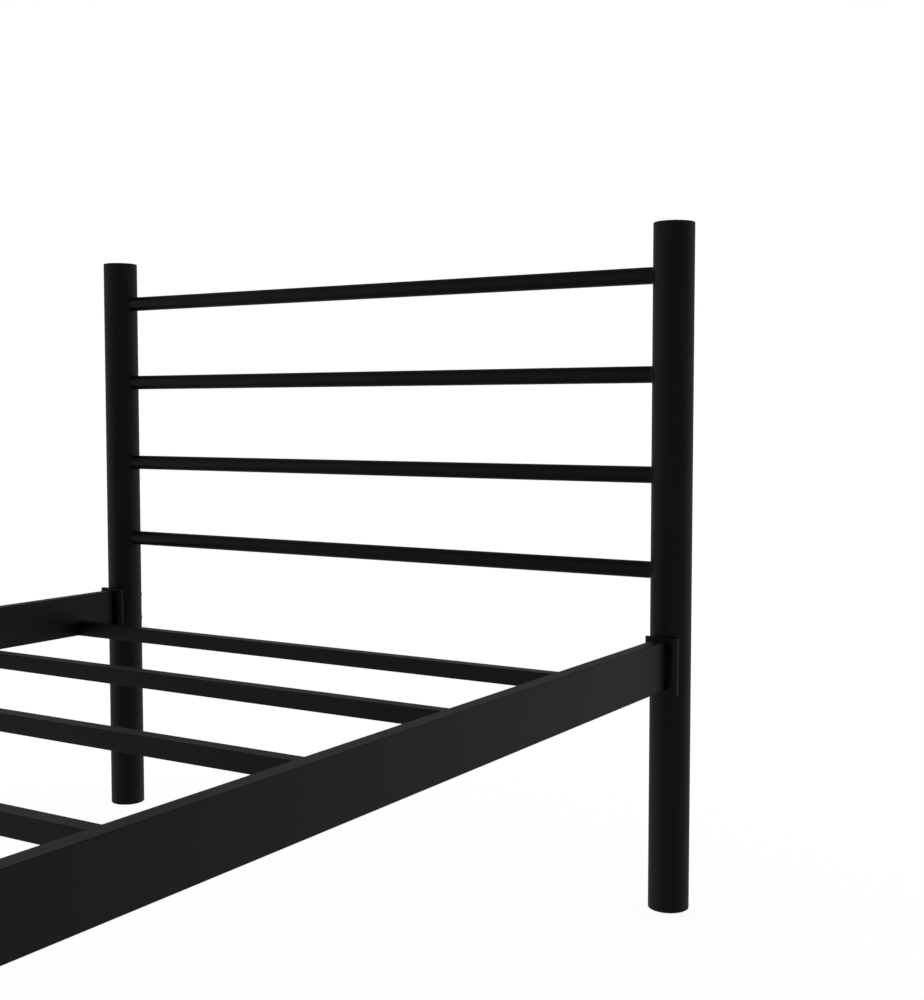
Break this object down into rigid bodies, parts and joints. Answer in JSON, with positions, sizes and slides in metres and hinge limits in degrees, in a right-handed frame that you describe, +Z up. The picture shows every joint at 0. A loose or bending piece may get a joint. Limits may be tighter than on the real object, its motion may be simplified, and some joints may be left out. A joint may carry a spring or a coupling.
{
  "type": "metal bed frame",
  "caption": "Single metal bed frame: tall round head posts joined by round horizontal bars, low foot posts, flat tubular side rails and square cross slats.",
  "frame": {"origin": "on the floor, midway between the four posts", "axes": "+X across the bed, +Y along the bed from foot to head, +Z up"},
  "size_m": [0.9808, 2.0288, 0.85],
  "materials": {
    "frame_paint": "satin black powder coat with a fine orange peel",
    "black_plastic": "fine moulded grain",
    "bolt_steel": "black zinc plated",
    "nut_steel": "bright zinc plated"
  },
  "bodies": {
    "root": {"head_post_left": "frame_paint", "head_cap_left": "black_plastic", "head_glide_left": "black_plastic", "head_left_end_plate": "frame_paint", "head_left_bolts": "bolt_steel", "head_left_crescent_washers": "bolt_steel", "head_left_weld_nuts": "nut_steel", "head_post_right": "frame_paint", "head_cap_right": "black_plastic", "head_glide_right": "black_plastic", "head_right_end_plate": "frame_paint", "head_right_bolts": "bolt_steel", "head_right_crescent_washers": "bolt_steel", "head_right_weld_nuts": "nut_steel", "foot_post_left": "frame_paint", "foot_cap_left": "black_plastic", "foot_glide_left": "black_plastic", "foot_left_end_plate": "frame_paint", "foot_left_bolts": "bolt_steel", "foot_left_crescent_washers": "bolt_steel", "foot_left_weld_nuts": "nut_steel", "foot_post_right": "frame_paint", "foot_cap_right": "black_plastic", "foot_glide_right": "black_plastic", "foot_right_end_plate": "frame_paint", "foot_right_bolts": "bolt_steel", "foot_right_crescent_washers": "bolt_steel", "foot_right_weld_nuts": "nut_steel", "head_bar_first": "frame_paint", "head_bar_second": "frame_paint", "head_bar_third": "frame_paint", "head_bar_fourth": "frame_paint", "foot_bar_lower": "frame_paint", "foot_bar_upper": "frame_paint", "side_rail_left": "frame_paint", "side_rail_right": "frame_paint", "slat_1": "frame_paint", "slat_2": "frame_paint", "slat_3": "frame_paint", "slat_4": "frame_paint", "slat_5": "frame_paint", "slat_6": "frame_paint", "slat_7": "frame_paint", "slat_8": "frame_paint"}
  },
  "joints": []
}
